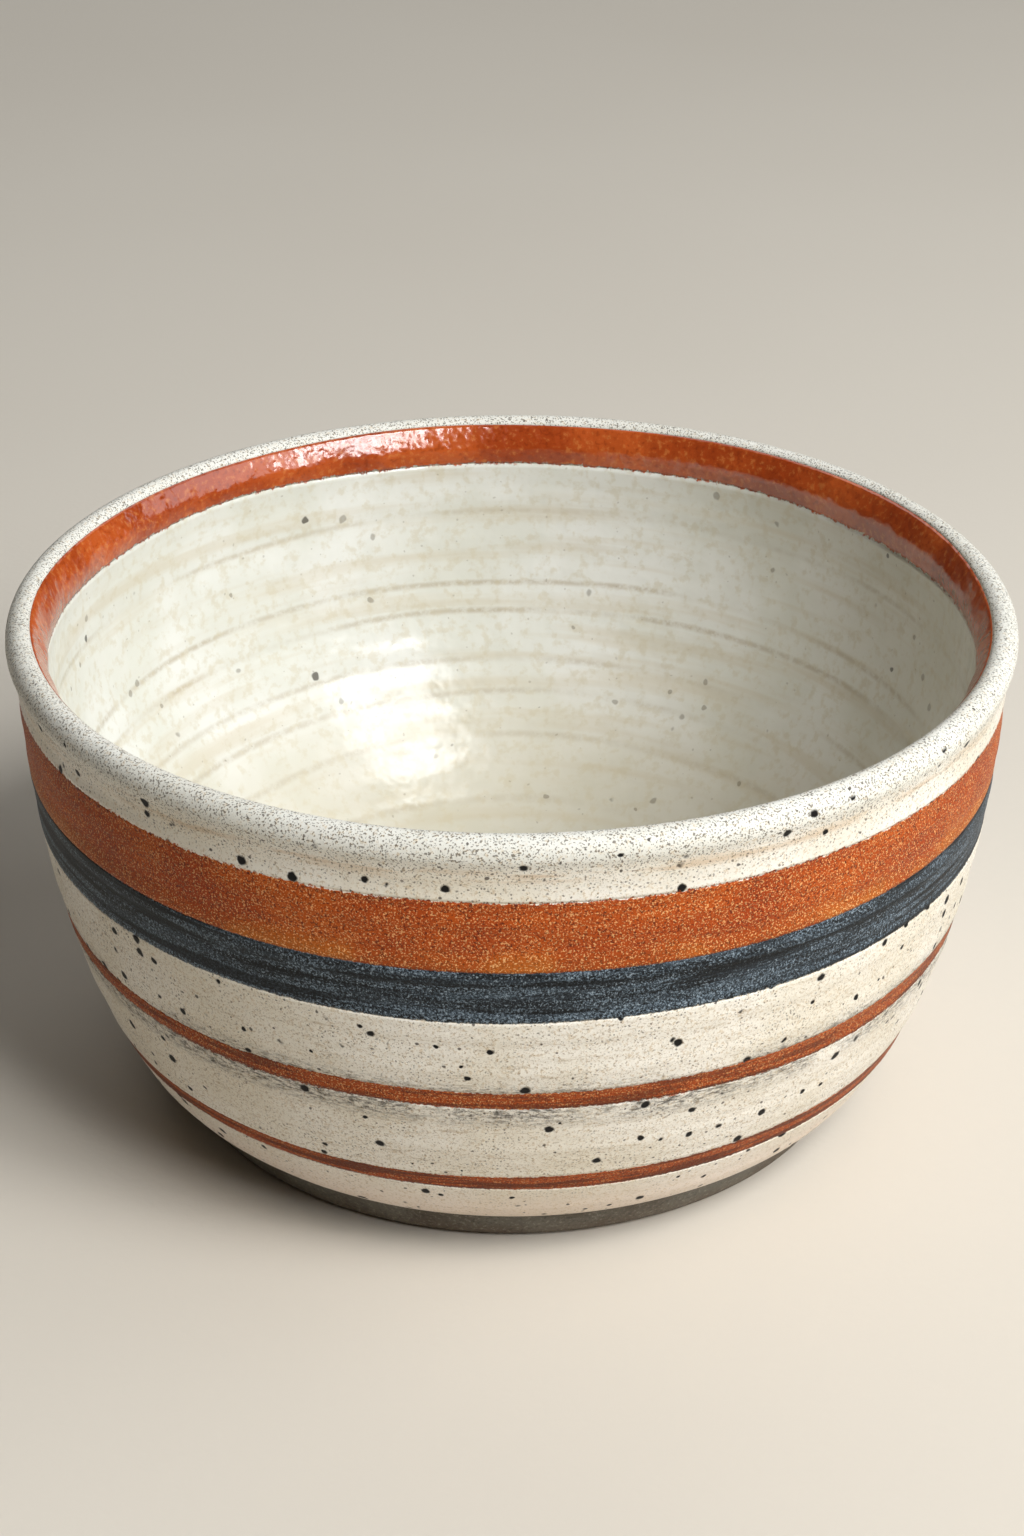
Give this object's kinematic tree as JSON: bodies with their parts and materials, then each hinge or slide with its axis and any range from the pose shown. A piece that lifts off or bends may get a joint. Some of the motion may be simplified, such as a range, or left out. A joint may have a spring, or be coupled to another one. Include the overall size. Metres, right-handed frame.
{
  "type": "yarn bowl",
  "caption": "Round wheel-thrown stoneware bowl with a rolled lip, banded slip and glaze and a trimmed foot ring; it cradles a ball of yarn and has no yarn slot.",
  "frame": {"origin": "centre of the circle that the foot ring stands on, on the supporting surface", "axes": "+Z is the bowl's axis of revolution, from the foot up to the open mouth; +X and +Y lie in the supporting surface"},
  "size_m": [0.165, 0.165, 0.0865],
  "materials": {
    "bare_clay": "unglazed, matte, fine grit and turning marks",
    "cream_liner_glaze": "glossy cream liner, tan where it pools in the throwing rings",
    "cream_satin_glaze": "satin cream with fine pepper speckle and sparse iron spots",
    "rust_gloss_glaze": "glossy rust over-glaze",
    "rust_satin_slip": "satin granular rust slip with golden flecks",
    "blue_black_slip": "brushed blue-black slip with slate streaks",
    "slate_slip": "matte dark warm-grey slip on the foot"
  },
  "bodies": {
    "root": {"stoneware_body": "bare_clay", "foot_ring": "bare_clay", "liner_glaze": "cream_liner_glaze", "inner_rust_band": "rust_gloss_glaze", "rim_glaze": "cream_satin_glaze", "wide_rust_band": "rust_satin_slip", "blue_black_band": "blue_black_slip", "middle_cream_band": "cream_satin_glaze", "upper_rust_ring": "rust_satin_slip", "lower_cream_band": "cream_satin_glaze", "lower_rust_ring": "rust_satin_slip", "base_cream_band": "cream_satin_glaze", "foot_slip": "slate_slip"}
  },
  "joints": []
}
